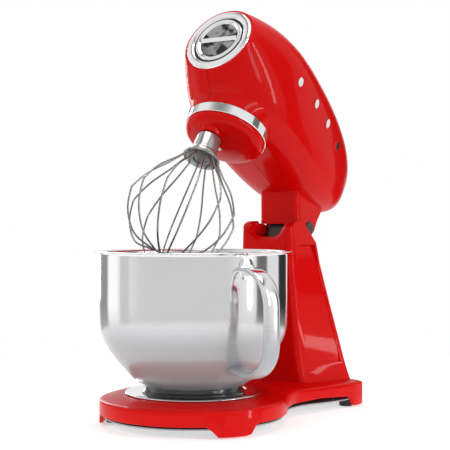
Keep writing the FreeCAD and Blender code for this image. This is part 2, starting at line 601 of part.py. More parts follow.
button = cyl(BUTTON_R, 8.0, (NECK_HALF - 6.0, button_y, button_z), X_AXIS)
button = round_edges(button, 0.8, lambda e: e.BoundBox.XMin > NECK_HALF + 1.9)
button = button.cut(box(NECK_HALF + 1.4, NECK_HALF + 4, button_y - 4, button_y + 4, button_z - 1.2, button_z + 1.2))
save("release_button", button)
coil_path = Part.makeHelix(1.5, 4.5, 5.6)
coil_section = Part.Wire(Part.makeCircle(0.5, V(5.6, 0, 0), V(0, 1, 0)))
spring = Part.Wire(coil_path).makePipeShell([coil_section], True, True)
spring.rotate(V(0, 0, 0), Y_AXIS, 90)
spring.translate(V(NECK_HALF - 11.4, button_y, button_z))
save("release_spring", spring)


# ---- bowl, foot ring and handle ----
def bowl_profile(inset):
    """Outer (inset 0) or inner outline of the bowl from its rim to the bottom, as (radius, height)."""
    return [(BOWL_WALL_R - inset, 196.0), (BOWL_WALL_R - inset, 165.0), (BOWL_WALL_R - inset, 134.0),
            (107.3 - inset, 108.0), (99.4 - 0.93 * inset, 89.7 + 0.4 * inset),
            (91.0 - 0.85 * inset, 77.0 + 0.55 * inset), (80.6 - 0.8 * inset, 65.0 + 0.65 * inset),
            (70.0 - 0.6 * inset, 53.5 + 0.8 * inset), (57.5 - 0.2 * inset, 46.0 + inset)]


def bowl_shell():
    def side(inset):
        curve = Part.BSplineCurve()
        points = [V(r, 0, z) for r, z in bowl_profile(inset)]
        curve.interpolate(points, InitialTangent=V(0, 0, -30), FinalTangent=V(-16, 0, -5))
        return curve.toShape()
    outer, inner = side(0), side(BOWL_WALL)
    lip_out = Part.Arc(V(BOWL_WALL_R, 0, 196), V(111.4, 0, 199.4), V(BOWL_RIM_R - 0.6, 0, 200.0)).toShape()
    lip_edge = Part.Arc(V(BOWL_RIM_R - 0.6, 0, 200.0), V(BOWL_RIM_R, 0, 200.5),
                        V(BOWL_RIM_R - 0.6, 0, BOWL_RIM_Z)).toShape()
    lip_in = Part.Arc(V(BOWL_RIM_R - 0.6, 0, BOWL_RIM_Z), V(110.2, 0, 200.4),
                      V(BOWL_WALL_R - BOWL_WALL, 0, 196)).toShape()
    bottom_r, bottom_z = bowl_profile(0)[-1]
    top_r, top_z = bowl_profile(BOWL_WALL)[-1]
    floor = Part.makePolygon([V(bottom_r, 0, bottom_z), V(0, 0, bottom_z - 0.6), V(0, 0, top_z - 0.6),
                              V(top_r, 0, top_z)])
    wire = Part.Wire(Part.__sortEdges__([outer, lip_out, lip_edge, lip_in, inner] + floor.Edges))
    return Part.Face(wire).revolve(V(0, 0, 0), Z_AXIS, 360)


bowl = bowl_shell()
ring = revolved([(52, FOOT_Z), (59.5, FOOT_Z), (59.5, FOOT_Z + 1.6), (56.5, FOOT_Z + 4.5), (56.5, 50), (52, 50)])
ring = ring.cut(bowl).cut(cyl(50, 60, (0, 0, 20)))
ring = solids(ring)
if len(ring.Solids) > 1:
    ring = min(ring.Solids, key=lambda s: s.BoundBox.ZMin)
save("bowl_foot", ring)


def handle():
    """Flat hollow-look strap from the upper wall of the bowl down to its lower curve."""
    width, thick = 20.0, 7.0
    outer = [(100, 187), (125, 186), (149, 176), (HANDLE_R + thick / 2, 152), (HANDLE_R + thick / 2, 120),
             (HANDLE_R + thick / 2, 95), (148, 73), (122, 64.5), (84, 67)]
    inner = [(100, 177), (123, 176.5), (141, 169), (HANDLE_R - thick / 2, 149), (HANDLE_R - thick / 2, 120),
             (HANDLE_R - thick / 2, 98), (141, 80), (120, 72.5), (84, 76)]

    def line(points):
        curve = Part.BSplineCurve()
        curve.interpolate([V(r, -width / 2, z) for r, z in points])
        return curve.toShape()
    o, i = line(outer), line(inner)
    ends = [Part.LineSegment(V(outer[0][0], -width / 2, outer[0][1]), V(inner[0][0], -width / 2, inner[0][1])),
            Part.LineSegment(V(outer[-1][0], -width / 2, outer[-1][1]), V(inner[-1][0], -width / 2, inner[-1][1]))]
    wire = Part.Wire(Part.__sortEdges__([o, i] + [e.toShape() for e in ends]))
    strap = Part.Face(wire).extrude(V(0, width, 0))
    strap = round_edges(strap, 2.6, lambda e: e.BoundBox.YLength < 0.1 and e.BoundBox.ZLength > 60)
    core = cyl(200, 300, (0, 0, 0)).cut(bowl_core())
    strap.rotate(V(0, 0, 0), Z_AXIS, HANDLE_ANGLE)
    return strap.common(core)


def bowl_core():
    """Everything inside the bowl's outer surface."""
    points = [V(r, 0, z) for r, z in bowl_profile(0)]
    curve = Part.BSplineCurve()
    curve.interpolate(points, InitialTangent=V(0, 0, -30), FinalTangent=V(-16, 0, -5))
    closing = Part.makePolygon([points[-1], V(0, 0, points[-1].z), V(0, 0, 196), points[0]])
    wire = Part.Wire(Part.__sortEdges__([curve.toShape()] + closing.Edges))
    return Part.Face(wire).revolve(V(0, 0, 0), Z_AXIS, 360)


save("bowl_shell", bowl)
save("bowl_handle", handle())
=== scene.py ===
import math

import bmesh
import bpy
from mathutils import Matrix, Vector


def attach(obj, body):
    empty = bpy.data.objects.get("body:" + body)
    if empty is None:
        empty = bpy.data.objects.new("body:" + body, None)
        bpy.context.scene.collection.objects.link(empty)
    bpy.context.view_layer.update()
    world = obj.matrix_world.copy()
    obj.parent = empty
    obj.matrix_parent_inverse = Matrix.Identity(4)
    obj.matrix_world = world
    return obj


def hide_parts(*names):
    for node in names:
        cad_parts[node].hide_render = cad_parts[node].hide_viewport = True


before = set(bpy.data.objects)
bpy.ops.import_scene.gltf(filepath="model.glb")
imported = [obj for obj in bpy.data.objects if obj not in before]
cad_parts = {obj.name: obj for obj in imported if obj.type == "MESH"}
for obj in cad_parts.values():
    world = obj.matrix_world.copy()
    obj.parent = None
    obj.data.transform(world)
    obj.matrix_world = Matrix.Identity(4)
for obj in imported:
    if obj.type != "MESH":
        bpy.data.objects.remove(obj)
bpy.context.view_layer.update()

# ---------------------------------------------------------------- studio
# A plain white table in a white tent, with one large soft lamp overhead, one at the front left and three
# narrower ones. Dark and grey flags and one bright gap stand in the tent, for the polished steel to reflect.
scene = bpy.context.scene
scene.view_settings.view_transform = "Standard"

VIEW_TURN = math.radians(33.7)  # how far round to the left side the camera stands
camera_data = bpy.data.cameras.new("camera")
camera_data.lens = 91.47
camera_data.sensor_width = 36.0
camera_data.shift_y = -0.0029
camera_data.clip_end = 50.0
camera = bpy.data.objects.new("camera", camera_data)
camera.location = (0.7705, -1.0896, 0.2324)
camera.rotation_euler = (math.pi / 2, 0.0, VIEW_TURN)
scene.collection.objects.link(camera)
scene.camera = camera

LAMP_AIM = Vector((0.0, 0.05, 0.22))
LAMPS = {  # name: place, watts, width, height
    "overhead": ((0.1, 0.1, 1.7), 9.0, 0.9, 0.9),
    "front_left": ((-0.9, -1.5, 1.1), 10.0, 0.5, 1.0),
    "right": ((1.7, -0.1, 0.9), 5.0, 0.25, 1.2),
    "edge_right": ((1.72, 0.43, 0.55), 5.0, 0.12, 1.1),
    "edge_left": ((-1.5, 0.9, 0.7), 6.0, 0.22, 1.4),
}
for name, (place, watts, width, height) in LAMPS.items():
    lamp = bpy.data.lights.new(name, "AREA")
    lamp.shape = "RECTANGLE"
    lamp.size, lamp.size_y, lamp.energy = width, height, watts
    lamp_object = bpy.data.objects.new(name, lamp)
    lamp_object.location = place
    lamp_object.rotation_euler = (LAMP_AIM - Vector(place)).to_track_quat("-Z", "Y").to_euler()
    lamp_object.visible_glossy = name != "front_left"  # it would draw a streak down the bowl
    scene.collection.objects.link(lamp_object)


class Value:
    """One output of a node, so that shader sums can be written as plain expressions."""

    def __init__(self, tree, socket):
        self.tree = tree
        self.socket = socket

    def sum(self, operation, *terms):
        """Add a Math node on values and numbers."""
        node = self.tree.nodes.new("ShaderNodeMath")
        node.operation = operation
        for socket, term in zip(node.inputs, terms):
            if isinstance(term, Value):
                self.tree.links.new(term.socket, socket)
            else:
                socket.default_value = term
        return Value(self.tree, node.outputs[0])

    def __add__(self, other):
        return self.sum("ADD", self, other)

    def __radd__(self, other):
        return self.sum("ADD", other, self)

    def __sub__(self, other):
        return self.sum("SUBTRACT", self, other)

    def __rsub__(self, other):
        return self.sum("SUBTRACT", other, self)

    def __mul__(self, other):
        return self.sum("MULTIPLY", self, other)

    def __rmul__(self, other):
        return self.sum("MULTIPLY", other, self)


class Nodes:
    """A node tree to add nodes to."""

    def __init__(self, tree):
        self.tree = tree
        tree.nodes.clear()

    def add(self, kind, settings=None, inputs=None, out=0):
        """Add a node and give its output numbered out. Its settings are set first, then its sockets."""
        node = self.tree.nodes.new("ShaderNode" + kind)
        for key, value in (settings or {}).items():
            setattr(node, key, value)
        for key, value in (inputs or {}).items():
            if isinstance(value, Value):
                self.tree.links.new(value.socket, node.inputs[key])
            else:
                node.inputs[key].default_value = value
        return Value(self.tree, node.outputs[out])

    def ramp(self, value, low, high):
        """0 up to low and 1 from high on, with a smooth rise between them."""
        return self.add("MapRange", {"interpolation_type": "SMOOTHSTEP"}, {0: value, 1: low, 2: high})

    def parts(self, vector):
        """The x, y and z of a vector."""
        split = self.add("SeparateXYZ", inputs={0: vector}).socket.node
        return [Value(self.tree, socket) for socket in split.outputs]


world = bpy.data.worlds.new("tent")
world.use_nodes = True
scene.world = world
tent = Nodes(world.node_tree)
way_x, way_y, way_z = tent.parts(tent.add("TexCoord"))
turn_cos, turn_sin = math.cos(VIEW_TURN), math.sin(VIEW_TURN)
to_right = way_x * turn_cos + way_y * turn_sin
to_front = way_x * turn_sin - way_y * turn_cos
bearing = to_right.sum("ARCTAN2", to_right, to_front) * (180 / math.pi)


def band(low, high, soft):
    """1 between two bearings in degrees, fading to 0 over soft degrees outside them."""
    return tent.ramp(bearing, low - soft, low) * (1 - tent.ramp(bearing, high, high + soft))


FLAGS = [  # two bearings, softness, darkness
    (127, 153, 2, 0.96), (-156, -128, 4, 0.62), (-100, -84, 5, 0.2), (-60, 40, 24, 0.16), (84, 99, 3, 0.8)]
GAP, GAP_GAIN = (-122, -99, 2), 0.35
WALL_FADES, CEILING_STARTS = (0.3, 0.75), (0.8, 0.93)  # upward share of the direction
CEILING_DARKNESS = 0.75
SOFT_LEVEL, MIRRORED_GAIN = 0.42, 0.5
wall = 1 - tent.ramp(way_z, *WALL_FADES)
ceiling = tent.ramp(way_z, *CEILING_STARTS)
flags = sum(band(low, high, soft) * darkness for low, high, soft, darkness in FLAGS)
shade = (1 - flags * wall) * (1 - ceiling * CEILING_DARKNESS) + band(*GAP) * wall * GAP_GAIN
seen = tent.add("LightPath")
mirrored = Value(seen.tree, seen.socket.node.outputs["Is Glossy Ray"])
level = shade * (1 - seen) * (mirrored * MIRRORED_GAIN + SOFT_LEVEL) + seen
backdrop = tent.add("Background", inputs={"Color": (1.0, 1.0, 1.0, 1.0), "Strength": level})
tent.tree.links.new(backdrop.socket, tent.tree.nodes.new("ShaderNodeOutputWorld").inputs[0])


class Finish(Nodes):
    """A surface finish: one shader with constants on its own sockets, and nodes for what varies."""

    def __init__(self, name, **constants):
        self.material = bpy.data.materials.new(name)
        self.material.use_nodes = True
        super().__init__(self.material.node_tree)
        self.shader = self.tree.nodes.new("ShaderNodeBsdfPrincipled")
        output = self.tree.nodes.new("ShaderNodeOutputMaterial")
        self.tree.links.new(self.shader.outputs[0], output.inputs[0])
        for key, value in constants.items():
            self.shader.inputs[key.replace("_", " ")].default_value = value
        self.place = self.add("TexCoord", out=3)

    def vary(self, socket, value):
        """Drive one of the shader's sockets by a value."""
        self.tree.links.new(value.socket, self.shader.inputs[socket])

    def noise(self, size, detail=2.0, stretch=(1.0, 1.0, 1.0)):
        """Noise with features of about size millimetres, drawn out along an axis where stretch is small."""
        at = self.add("Mapping", inputs={0: self.place, "Scale": stretch})
        return self.add("TexNoise", inputs={"Vector": at, "Scale": 1000 / size, "Detail": detail})

    def blend(self, share, first, second):
        """The first colour where share is 0, the second where it is 1."""
        return self.add("Mix", {"data_type": "RGBA"}, {0: share, 6: first, 7: second}, out=2)

    def relief(self, height, depth, strength=1.0):
        """Bump of depth millimetres."""
        bump = self.add("Bump", inputs={"Height": height, "Distance": depth / 1000, "Strength": strength})
        self.vary("Normal", bump)


floor_paint = Finish("table_white", Roughness=0.9, Emission_Color=(1, 1, 1, 1), Emission_Strength=0.45)
floor_grain = floor_paint.noise(60.0)
floor_paint.vary("Base Color", floor_paint.blend(floor_grain, (0.93, 0.93, 0.93, 1), (0.96, 0.96, 0.96, 1)))
floor_mesh = bmesh.new()
bmesh.ops.create_circle(floor_mesh, cap_ends=True, segments=96, radius=0.75)
floor_data = bpy.data.meshes.new("table")
floor_mesh.to_mesh(floor_data)
floor_mesh.free()
floor_data.materials.append(floor_paint.material)
floor = bpy.data.objects.new("table", floor_data)
scene.collection.objects.link(floor)

# ---------------------------------------------------------------- base
# The base is one die-cast aluminium tray in red enamel, with a round front, a waist and a wide rear. Its
# skirt is arched between four legs, and a raised round table on it carries the bowl plate.
red = Finish("red_enamel", Roughness=0.3, Coat_Weight=0.2, Coat_Roughness=0.05, Specular_IOR_Level=0.03)
red.vary("Base Color", red.blend(red.noise(90.0), (0.68, 0.0012, 0.0008, 1), (0.74, 0.0018, 0.0014, 1)))
red.relief(red.noise(3.0, 1.0), 0.008)

HEAD_TILT = math.radians(32.6)
HINGE = Vector((0.0, 178.0, 184.0))


def tilt(form):
    """Turn a piece of the head, drawn closed, to its raised place."""
    turn_up = Matrix.Rotation(-HEAD_TILT, 3, "X")
    bmesh.ops.rotate(form, cent=HINGE, matrix=turn_up, verts=form.verts)


def tidy(form):
    bmesh.ops.remove_doubles(form, verts=form.verts, dist=1e-3)
    bmesh.ops.recalc_face_normals(form, faces=form.faces)


def piece(name, form, finish, body, slot, *replaced, edge=0.0, sharp=40.0):
    """Make an object of a form drawn in millimetres, with its sharp edges rounded, riding on a body."""
    tidy(form)
    bmesh.ops.scale(form, vec=(0.001, 0.001, 0.001), verts=form.verts)
    for face in form.faces:
        face.smooth = True
    data = bpy.data.meshes.new(name)
    form.to_mesh(data)
    form.free()
    data.set_sharp_from_angle(angle=math.radians(sharp))
    data.materials.append(finish.material)
    made = bpy.data.objects.new(name, data)
    scene.collection.objects.link(made)
    if edge:
        rounding = made.modifiers.new("rounding", "BEVEL")
        rounding.width = edge / 1000
        rounding.segments = 3
        rounding.limit_method = "ANGLE"
        rounding.angle_limit = math.radians(sharp)
        rounding.harden_normals = True
        rounding.miter_outer = "MITER_ARC"
    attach(made, body)
    if replaced:
        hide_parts(*replaced)
    return made


def lathe(profile, steps=96, closed=False):
    """Spin a profile of (radius, height) about the upright axis."""
    form = bmesh.new()
    corners = [form.verts.new((r, 0.0, z)) for r, z in profile]
    pairs = list(zip(corners, corners[1:])) + ([(corners[-1], corners[0])] if closed else [])
    edges = [form.edges.new(pair) for pair in pairs]
    bmesh.ops.spin(form, geom=corners + edges, cent=(0, 0, 0), axis=(0, 0, 1), angle=2 * math.pi,
                   steps=steps, use_merge=True)
    tidy(form)
    return form


def shift(form, x=0.0, y=0.0, z=0.0):
    bmesh.ops.translate(form, vec=(x, y, z), verts=form.verts)
    return form


def smooth_line(points, steps=6):
    """Points along a smooth curve through the given ones."""
    line = []
    ends = [points[0]] + list(points) + [points[-1]]
    for k in range(1, len(ends) - 2):
        a, b, c, d = (Vector(p) for p in ends[k - 1:k + 3])
        for step in range(steps):
            t = step / steps
            line.append(0.5 * (2 * b + (c - a) * t + (2 * a - 5 * b + 4 * c - d) * t * t
                               + (3 * b - a - 3 * c + d) * t * t * t))
    return line + [Vector(points[-1])]


def prism(points, direction):
    """A solid from a closed outline, pushed out along direction."""
    form = bmesh.new()
    face = form.faces.new([form.verts.new(p) for p in points])
    pushed = bmesh.ops.extrude_face_region(form, geom=[face])["geom"]
    bmesh.ops.translate(form, vec=direction, verts=[v for v in pushed if isinstance(v, bmesh.types.BMVert)])
    tidy(form)
    return form


def block(x0, x1, y0, y1, z0, z1):
    return prism([(x0, y0, z0), (x1, y0, z0), (x1, y1, z0), (x0, y1, z0)], (0, 0, z1 - z0))


def as_object(form):
    data = bpy.data.meshes.new("cutter")
    tidy(form)
    form.to_mesh(data)
    form.free()
    made = bpy.data.objects.new("cutter", data)
    scene.collection.objects.link(made)
    return made


def cut(form, *tools, operation="DIFFERENCE"):
    """Cut closed forms out of another one, or join them to it."""
    target = as_object(form)
    cutters = [as_object(tool) for tool in tools]
    for cutter in cutters:
        step = target.modifiers.new("cut", "BOOLEAN")
        step.operation = operation
        step.solver = "EXACT"
        step.object = cutter
    whole = bpy.data.meshes.new_from_object(target.evaluated_get(bpy.context.evaluated_depsgraph_get()))
    out = bmesh.new()
    out.from_mesh(whole)
    for made in [target] + cutters:
        old = made.data
        bpy.data.objects.remove(made)
        bpy.data.meshes.remove(old)
    bpy.data.meshes.remove(whole)
    return out


FRONT_RADIUS = 109.5
WAIST_HALF, WAIST_Y = 78, 113
HIP_HALF, HIP_Y = 102.5, 216
REAR_Y = 236


def base_plan(inset, count=34):
    """Half of the base's outline, from the front round to the back."""
    r = FRONT_RADIUS - inset
    sweep = math.radians(120)
    line = [Vector((r * math.sin(a), -r * math.cos(a))) for a in (sweep * k / count for k in range(count))]
    shoulder = Vector((r * math.cos(math.radians(30)), r * math.sin(math.radians(30))))
    waist = Vector((WAIST_HALF - inset, WAIST_Y))
    hip = Vector((HIP_HALF - inset, HIP_Y))
    curves = [(shoulder, Vector((-32, 49)), waist, Vector((12, 54))),
              (waist, Vector((14, 62)), hip, Vector((0, 72)))]
    for start, leave, end, arrive in curves:
        for k in range(20):
            t = k / 20
            line.append(start * (2 * t ** 3 - 3 * t ** 2 + 1) + leave * (t ** 3 - 2 * t ** 2 + t)
                        + end * (3 * t ** 2 - 2 * t ** 3) + arrive * (t ** 3 - t ** 2))
    corner = max(8.0 - inset * 0.3, 3.0)
    middle = Vector((HIP_HALF - inset - corner, REAR_Y - inset - corner))
    quarter = [math.radians(90) * k / 8 for k in range(9)]
    line += [middle + corner * Vector((math.cos(a), math.sin(a))) for a in quarter]
    return line + [Vector((x, REAR_Y - inset)) for x in (88, 86, 84.5, 83, 81, 79, 60, 30, 0)]


TREAD_Z = 1.5
FRONT_ARCH_Z, REAR_ARCH_Z = 13.6, 12.0
FRONT_LEG_X, REAR_LEG_X = 82.8, 84.5  # where the legs begin, seen from the front and from behind
SIDE_LEG_Y = (-37, 209)  # and seen from the side


def skirt_foot(point):
    """Height of the skirt's lower edge: up under the arches and down on the four legs."""
    x, y = abs(point[0]), point[1]
    low = TREAD_Z
    if y < 0:
        low = max(low, min(FRONT_ARCH_Z, (FRONT_LEG_X - x) * 1.5 + TREAD_Z))
    if -40 < y < 214:
        rise = 3.6 * min(max((y - 60) / 90, 0), 1) - 3.0 * min(max((y - 150) / 50, 0), 1)
        low = max(low, min(FRONT_ARCH_Z + rise, (y - SIDE_LEG_Y[0]) * 1.4 + TREAD_Z,
                           (SIDE_LEG_Y[1] - y) * 1.6 + TREAD_Z))
    if y > 225:
        low = max(low, min(REAR_ARCH_Z, (REAR_LEG_X - x) * 1.8 + TREAD_Z))
    return low


TRAY = [  # inset, height and whether that is over the skirt's lower edge, from inside the skirt to the top
    (4.5, 28.0, False), (4.5, 0.0, True), (0.8, 0.0, True), (0.0, 0.8, True), (0.0, 28.6, False),
    (0.25, 29.4, False), (1.0, 30.1, False), (5.0, 31.6, False), (11.0, 32.9, False), (18.0, 33.5, False)]
tray = bmesh.new()
tray_rings = []
for inset, height, over_edge in TRAY:
    ring = []
    for point in base_plan(inset):
        z = height + skirt_foot(point) if over_edge else height
        ring.append(tray.verts.new((point.x, point.y, z)))
    tray_rings.append([tray.edges.new(pair) for pair in zip(ring, ring[1:])])
for lower, upper in zip(tray_rings, tray_rings[1:]):
    bmesh.ops.bridge_loops(tray, edges=lower + upper)
bmesh.ops.mirror(tray, geom=tray.verts[:] + tray.edges[:] + tray.faces[:], axis="X", merge_dist=1e-3)
bmesh.ops.remove_doubles(tray, verts=tray.verts, dist=1e-3)
bmesh.ops.holes_fill(tray, edges=[e for e in tray.edges if e.is_boundary], sides=0)
piece("base_tray", tray, red, "stand", "red_paint", "base_casting", edge=0.5, sharp=50)

TABLE = [(0, 30), (104.5, 30), (104.5, 31.2), (101, 32.4), (93, 34.6), (87.5, 35.9), (84, 36.0), (0, 36.0)]
piece("bowl_table", lathe(TABLE), red, "stand", "red_paint", edge=0.4, sharp=25)

# ---------------------------------------------------------------- feet
# Four moulded rubber pads, pressed into the legs from below, with a softened tread edge.
rubber = Finish("black_rubber")
rubber.vary("Base Color", rubber.blend(rubber.noise(8.0), (0.018, 0.017, 0.016, 1), (0.028, 0.027, 0.026, 1)))
rubber.vary("Roughness", rubber.noise(2.0) * 0.15 + 0.6)
rubber.relief(rubber.noise(0.8, 2.0), 0.03)
FEET = {"foot_front_left": (82, -47), "foot_front_right": (-82, -47), "foot_rear_left": (88, 212),
        "foot_rear_right": (-88, 212)}
PAD = [(0, 0.6), (4.5, 0.6), (5.0, 0.0), (7.2, 0.0), (8.5, 1.4), (8.5, 9.4), (0, 9.4)]
for name, (x, y) in FEET.items():
    piece(name + "_pad", shift(lathe(PAD, 48), x, y), rubber, "stand", "black_rubber", name, edge=0.4)

# ---------------------------------------------------------------- bowl plate
# A turned steel disc with a rolled rim, polished, chromed and screwed down on the base. The bowl's foot sits
# in its well.
chrome = Finish("chrome", Metallic=1.0)
chrome.vary("Base Color", chrome.blend(chrome.noise(30.0), (0.80, 0.80, 0.81, 1), (0.86, 0.86, 0.86, 1)))
chrome.vary("Roughness", chrome.noise(12.0, 3.0) * 0.04 + 0.03)
PLATE = [(0, 36.0), (77.5, 36.0), (79.4, 36.5), (80, 37.2), (79.4, 37.9), (77, 38.3), (72, 38.4), (64, 38.0),
         (62.5, 37.3), (0, 37.2)]
piece("plate", lathe(PLATE, 128), chrome, "stand", "chrome", "bowl_plate", edge=0.25, sharp=25)

# ---------------------------------------------------------------- column
# The column is a second casting, bolted down from below. It narrows upwards, has a sunk panel on each flank,
# and ends in two ears that hold the hinge pin. The notch between them leaves room for the neck to swing.
EARS = [(150, 222), (160, 222), (162.5, 228), (168, 232.5), (176, 235.5), (184, 236), (192, 236), (222, 201),
        (260, 200), (260, 300), (150, 300)]
COLUMN_RINGS = [  # height, half width at the front, half width at the back, front line
    (33.5, 60, 93, 152), (42, 55, 89.5, 154.5), (52, 51, 86, 156.5), (66, 47.5, 81.5, 158), (85, 45, 76, 159),
    (130, 40.5, 62.5, 160), (180, 37.8, 48, 160), (240, 36.6, 36, 160)]
COLUMN_BACK = 219.0


def column_ring(form, height, front_half, rear_half, front_line):
    """The column's four corners at one height."""
    corners = [(-front_half, front_line), (front_half, front_line),
               (rear_half, COLUMN_BACK), (-rear_half, COLUMN_BACK)]
    return [form.verts.new((x, y, height)) for x, y in corners]


column = bmesh.new()
lower = column_ring(column, *COLUMN_RINGS[0])
column.faces.new(lower)
front_posts, back_posts = [], []
for row in COLUMN_RINGS[1:]:
    upper = column_ring(column, *row)
    for k in range(4):
        column.faces.new((lower[k], lower[(k + 1) % 4], upper[(k + 1) % 4], upper[k]))
        (front_posts if k < 2 else back_posts).append(column.edges.get((lower[k], upper[k])))
    lower = upper
column.faces.new(lower)
tidy(column)
for posts, radius, segments in ((front_posts, 6.0, 6), (back_posts, 3.5, 5)):
    bmesh.ops.bevel(column, geom=[e for e in posts if e.is_valid], offset=radius, offset_type="OFFSET",
                    segments=segments, profile=0.5, material=-1, affect="EDGES", clamp_overlap=True)
PANEL_REAR_MARGIN, PANEL_FRONT_MARGIN = 6.5, 12.5
PANEL_DEPTH = 1.3
PANEL_CLEAR = 12  # how far the cutter of a panel stands out of the flank
PANEL_RINGS = [(56, 50.0, 82.5, 157)] + COLUMN_RINGS[3:-1] + [(205, 36.6, 39.5, 160)]


def panel_cutter(side):
    """The closed form that sinks the panel into one flank: a strip of quads, and its copy further out."""
    front, rear = [], []
    for height, front_half, rear_half, front_line in PANEL_RINGS:
        run = COLUMN_BACK - front_line
        for line, share in ((front, PANEL_FRONT_MARGIN / run), (rear, 1 - PANEL_REAR_MARGIN / run)):
            half = front_half + (rear_half - front_half) * share
            line.append((side * half, front_line + run * share, height))
    outline = front + rear[::-1]
    form = bmesh.new()
    sunk, clear = ([form.verts.new((x + side * out, y, z)) for x, y, z in outline]
                   for out in (-PANEL_DEPTH, PANEL_CLEAR))
    for strip in (sunk, clear):
        for k in range(len(front) - 1):
            form.faces.new((strip[k], strip[k + 1], strip[-2 - k], strip[-1 - k]))
    for k in range(len(outline)):
        j = (k + 1) % len(outline)
        form.faces.new((sunk[k], sunk[j], clear[j], clear[k]))
    return form


NOTCH_BACK = [(-29, 236), (-28, 232), (-21, 227.5), (-15, 221), (-10, 219), (10, 219), (15, 221), (21, 227.5),
              (28, 232), (29, 236)]
NOTCH_FRONT = [(-32, 236), (-31, 230), (-26, 221), (-19, 214), (-11, 210.5), (11, 210.5), (19, 214),
               (26, 221), (31, 230), (32, 236)]
NOTCH = [(150, NOTCH_FRONT), (160, NOTCH_FRONT), (166.5, NOTCH_BACK), (173, NOTCH_BACK)]
SWING_IN, SWING_OUT, SWING_HALF = 48.8, 62, 31.5


def loft(rings):
    """A closed form through rings of points: a circle extruded from ring to ring and moved onto each."""
    form = bmesh.new()
    ring = bmesh.ops.create_circle(form, segments=len(rings[0]), radius=1.0)["verts"]
    edges = form.edges[:]
    for k, points in enumerate(rings):
        if k:
            grown = bmesh.ops.extrude_edge_only(form, edges=edges)["geom"]
            edges = [g for g in grown if isinstance(g, bmesh.types.BMEdge)]
            new = {g for g in grown if isinstance(g, bmesh.types.BMVert)}
            ring = [next(e.other_vert(v) for e in v.link_edges if e.other_vert(v) in new) for v in ring]
        for v, point in zip(ring, points):
            v.co = point
    bmesh.ops.holes_fill(form, edges=[e for e in form.edges if e.is_boundary], sides=0)
    tidy(form)
    return form


def across(form):
    """Lay a form drawn about the upright axis across the mixer, its top to the left side."""
    bmesh.ops.rotate(form, cent=(0, 0, 0), matrix=Matrix.Rotation(math.pi / 2, 3, "Y"), verts=form.verts)
    return form


notch = loft([[(x, y, z) for x, z in [(-40, 260)] + line + [(40, 260)]] for y, line in NOTCH])
swing = across(lathe([(SWING_IN, -SWING_HALF), (SWING_OUT, -SWING_HALF), (SWING_OUT, SWING_HALF),
                      (SWING_IN, SWING_HALF)], 128, True))
swing = cut(shift(swing, *HINGE), block(-60, 60, 150, 260, 215, 260), operation="INTERSECT")
ear_gap = block(-19.5, 19.5, 164, 214, 165, 260)
back_gap = block(-19.5, 19.5, 211, 260, 203, 260)
column = cut(column, prism([(-100, y, z) for y, z in EARS], (200, 0, 0)), ear_gap, back_gap, notch, swing,
             panel_cutter(1), panel_cutter(-1))
piece("column", column, red, "stand", "red_paint", "column_casting", edge=1.0, sharp=28)

# ---------------------------------------------------------------- head shell
# The head's cover is an egg-shaped casting in red enamel, in two halves that meet in a fine seam along the
# middle. Its underside is flat, and a round collar under it fits over the hub.
NOSE_Y, TAIL_Y = -73.0, 250.8
CAP_Z = 343.2
UNDERSIDE_Z = 265.0


def swell(t, start, most, at, power):
    """A half width that grows from start to its most at one share of the length, then closes to 0."""
    if t < at:
        return start + (most - start) * math.sin(t / at * math.pi / 2) ** 0.9
    return most * max(1 - ((t - at) / (1 - at)) ** power, 0.0) ** (1 / power)


def egg_point(t, angle, grow):
    """A point on the head at a share of its length and an angle round it, from the left side upwards."""
    squareness = 2.0 + 0.787 * min(1.0, t / 0.25)
    side, up = math.cos(angle), math.sin(angle)
    half = swell(t, 46.5, 73.0, 0.365, 2.378)
    reach = swell(t, 46.5, 63.4 if up > 0 else 80.0, 0.2, 2.323)
    x = (half + grow) * math.copysign(abs(side) ** (2 / squareness), side)
    z = (reach + grow) * math.copysign(abs(up) ** (2 / squareness), up)
    y = NOSE_Y + t * (TAIL_Y - NOSE_Y) + (grow * (t - 0.6) / 0.4 if t > 0.6 else 0.0)
    return Vector((x, y, CAP_Z - 14.6 * t ** 1.5 + z))


def egg(grow, around=96, along=44):
    """The head's closed form, grown evenly."""
    angles = [2 * math.pi * k / around for k in range(around)]
    stations = [0.5 - 0.5 * math.cos(math.pi * k / along) for k in range(along)] + [0.9975]
    return loft([[egg_point(t, angle, grow) for angle in angles] for t in stations])


def trim(form, place, outwards):
    """Cut a closed form at a plane, take away what lies outwards, and close it again."""
    bmesh.ops.bisect_plane(form, geom=form.verts[:] + form.edges[:] + form.faces[:], plane_co=place,
                           plane_no=outwards, clear_outer=True)
    bmesh.ops.holes_fill(form, edges=[e for e in form.edges if e.is_boundary], sides=0)
    return form


SHELL_WALL = 3.0
NOSE_WALL = 9.0
BAND_TOP = 267.6
collar = lathe([(0, BAND_TOP), (51.5, BAND_TOP), (51.6, 270), (51.8, 273), (52.2, 276), (52.7, 279),
                (53.5, 282), (54.6, 285), (56.2, 288), (0, 292)])
DOWN, FORWARD = (0, 0, -1), (0, -1, 0)
head_form = cut(trim(egg(0.0), (0, 0, UNDERSIDE_Z), DOWN), collar, operation="UNION")
neck_roof = head_form.copy()
hollow = trim(egg(-SHELL_WALL), (0, 0, UNDERSIDE_Z + SHELL_WALL), DOWN)
hollow = trim(hollow, (0, NOSE_Y + NOSE_WALL, 0), FORWARD)


def along_y(form, y, z):
    """Lay a form drawn about the upright axis along the head instead, facing forwards."""
    bmesh.ops.rotate(form, cent=(0, 0, 0), matrix=Matrix.Rotation(math.pi / 2, 3, "X"), verts=form.verts)
    bmesh.ops.translate(form, vec=(0, y, z), verts=form.verts)
    return form


def disc(radius, low, high, steps=96):
    return lathe([(0, low), (radius, low), (radius, high), (0, high)], steps)


